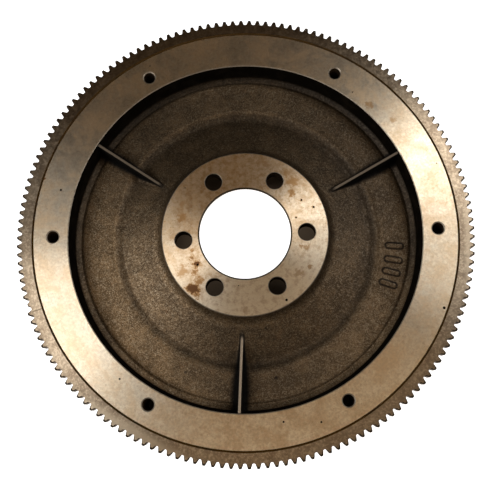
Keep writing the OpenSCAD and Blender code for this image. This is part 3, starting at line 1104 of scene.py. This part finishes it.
def disc(name, outer, depth, material, hole=None):
    """A flat disc under the part, in metres. hole is (x, y, radius)."""
    bm = bmesh.new()
    z = FLOOR_Z - depth
    rim = circle_points(bm, 0, 0, outer, z)
    if hole:
        inner = circle_points(bm, *hole, z)
        for i in range(DISC_SIDES):
            j = (i + 1) % DISC_SIDES
            bm.faces.new((inner[i], rim[i], rim[j], inner[j]))
    else:
        bm.faces.new(rim)
    return stage_object(name, bm, material)


def dome(name, radius, material):
    """A sphere round the whole stage, in metres."""
    bm = bmesh.new()
    bmesh.ops.create_uvsphere(bm, u_segments=48, v_segments=24, radius=radius)
    return stage_object(name, bm, material)


def seen_by(obj, rays):
    """Hides a stage object from every kind of ray but these."""
    for ray in ALL_RAYS:
        setattr(obj, "visible_" + ray, ray in rays)


def stage_material(name, colour, glow):
    """A matt, nearly even colour. glow is how much light it gives off."""
    n = Nodes(name)
    tint = n.mix(n.ramp(n.noise(200, 2), 0.3, 0.7, 0, 0.02), colour, shaded(colour, 0.9))
    return n.shade(Base_Color=tint, Roughness=0.9, Emission_Color=(1, 1, 1, 1), Emission_Strength=glow,
                   Specular_IOR_Level=0.0)


floor_material = stage_material("pale_floor", (0.85, 0.85, 0.85), 1.0)
bounce_material = stage_material("pale_bounce", (0.5, 0.5, 0.5), 0.0)
shade_sheet_material = stage_material("dark_mat", (0.085, 0.062, 0.042), 0.0)
backdrop_material = stage_material("pale_backdrop", (0.8, 0.8, 0.8), 1.0)

# The camera sees a white floor and backdrop. Light bounces off a grey floor that the camera can't see.
seen_by(disc("floor", FLOOR_R, FLOOR_DEPTH, floor_material), ("camera",))
bounce_floor = disc("bounce_floor", FLOOR_R, BOUNCE_DEPTH, bounce_material)
seen_by(bounce_floor, ("diffuse", "glossy", "transmission", "shadow"))
# Painted shade: a dark sheet under the part
disc("mat", SHADE_SHEET_R, SHADE_SHEET_DEPTH, shade_sheet_material, SHADE_SHEET_HOLE)
disc("glow", GLOW_R, GLOW_DEPTH, floor_material)
seen_by(dome("backdrop", BACKDROP_R, backdrop_material), ("camera",))

WHITE = (1.0, 1.0, 1.0)
WARM = (1.0, 0.81, 0.60)
COOL = (0.97, 0.965, 0.96)
# Name, direction it comes from (azimuth from +X, elevation), distance, width, height, watts and colour
LIGHTS = [
    ("left_back", 162, 45, 1.2, 0.45, 0.4, 0.45, WHITE),
    ("left_box", 191, 42, 1.2, 0.62, 0.45, 8.2, WHITE),
    ("left_front", 214, 52, 1.2, 0.5, 0.35, 2.05, COOL),
    ("right_box", 2, 40, 1.2, 0.38, 0.35, 3.2, WHITE),
    ("right_back", 34, 48, 1.2, 0.4, 0.35, 4.15, COOL),
    ("right_front", 332, 50, 1.3, 0.4, 0.4, 1.2, WARM),
    ("front_high", 278, 65, 1.4, 1.1, 0.4, 2.6, WARM),
]


def area_light(name, azimuth, elevation, distance, width, height, watts, colour):
    """A rectangular light that points at the part's middle."""
    data = bpy.data.lights.new(name, "AREA")
    data.shape = "RECTANGLE"
    data.size, data.size_y = width, height
    data.energy = watts
    data.color = colour
    light = bpy.data.objects.new(name, data)
    a, e = math.radians(azimuth), math.radians(elevation)
    away = Vector((math.cos(a) * math.cos(e), math.sin(a) * math.cos(e), math.sin(e)))
    light.location = away * distance
    light.rotation_euler = away.to_track_quat("Z", "Y").to_euler()
    bpy.context.scene.collection.objects.link(light)


for settings in LIGHTS:
    area_light(*settings)

WORLD_COLOUR = (1.0, 0.58, 0.30, 1)     # a faint warm light from all sides
WORLD_STRENGTH = 0.016

world = bpy.data.worlds.new("studio")
world.use_nodes = True
background = world.node_tree.nodes["Background"]
background.inputs["Color"].default_value = WORLD_COLOUR
background.inputs["Strength"].default_value = WORLD_STRENGTH
bpy.context.scene.world = world
bpy.context.scene.view_settings.view_transform = "Standard"

CAMERA_AZIMUTH = 3.25
CAMERA_ELEVATION = 79.08
CAMERA_ROLL = -4.473
CAMERA_TARGET = Vector((3.61, -13.75, 2.8)) * MM
CAMERA_DISTANCE = 0.6
CAMERA_SENSOR = 36
CAMERA_LENS = 56.73

camera_data = bpy.data.cameras.new("camera")
camera_data.sensor_width = CAMERA_SENSOR
camera_data.lens = CAMERA_LENS
camera = bpy.data.objects.new("camera", camera_data)
aim = (Matrix.Rotation(math.radians(CAMERA_AZIMUTH), 3, "Z")
       @ Matrix.Rotation(math.radians(90 - CAMERA_ELEVATION), 3, "X"))
camera.location = CAMERA_TARGET + aim @ Vector((0, 0, CAMERA_DISTANCE))
camera.rotation_euler = (aim @ Matrix.Rotation(math.radians(CAMERA_ROLL), 3, "Z")).to_euler()
bpy.context.scene.collection.objects.link(camera)
bpy.context.scene.camera = camera

[[list(corner) for corner in box] for box in (cad_box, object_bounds())]
